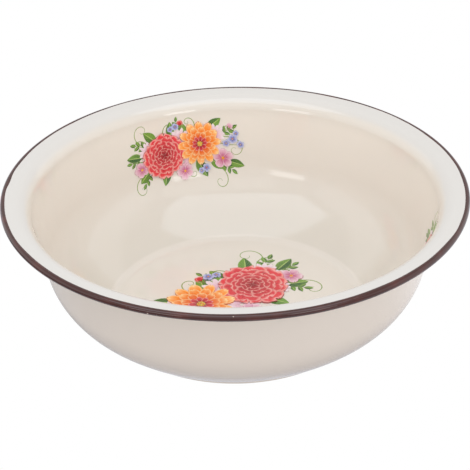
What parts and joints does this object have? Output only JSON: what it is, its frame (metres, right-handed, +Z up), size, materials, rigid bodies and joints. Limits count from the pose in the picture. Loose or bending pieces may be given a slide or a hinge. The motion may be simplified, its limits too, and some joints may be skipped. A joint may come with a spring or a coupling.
{
  "type": "enamel wash basin",
  "caption": "Round enamelled steel wash basin with a flared flange, rolled brown rim and floral transfers inside.",
  "frame": {"origin": "centre of the foot on the standing surface", "axes": "+Z up along the basin's axis, out of its mouth; the picture looks along +Y"},
  "size_m": [0.3999, 0.4, 0.125],
  "materials": {
    "steel_pressing": "pickled deep-drawing steel, hidden under the enamel",
    "ground_coat": "dark vitreous ground coat, hidden under the cover coats",
    "outside_cream_coat": "glossy vitreous enamel, pale warm cream",
    "inside_cream_coat": "glossy vitreous enamel, cream that pales towards the flange",
    "white_flange_coat": "glossy vitreous enamel, white",
    "brown_rim_coat": "glossy vitreous enamel, dark brown",
    "transfer_colours": "fired onglaze colours: coral, orange, lilac, blue and green"
  },
  "bodies": {
    "root": {"steel_pressing": "steel_pressing", "ground_coat": "ground_coat", "outside_cream_coat": "outside_cream_coat", "inside_cream_coat": "inside_cream_coat", "white_flange_coat": "white_flange_coat", "brown_rim_coat": "brown_rim_coat", "wall_transfer_back": "transfer_colours", "wall_transfer_front": "transfer_colours", "wall_transfer_right": "transfer_colours", "floor_transfer": "transfer_colours"}
  },
  "joints": []
}
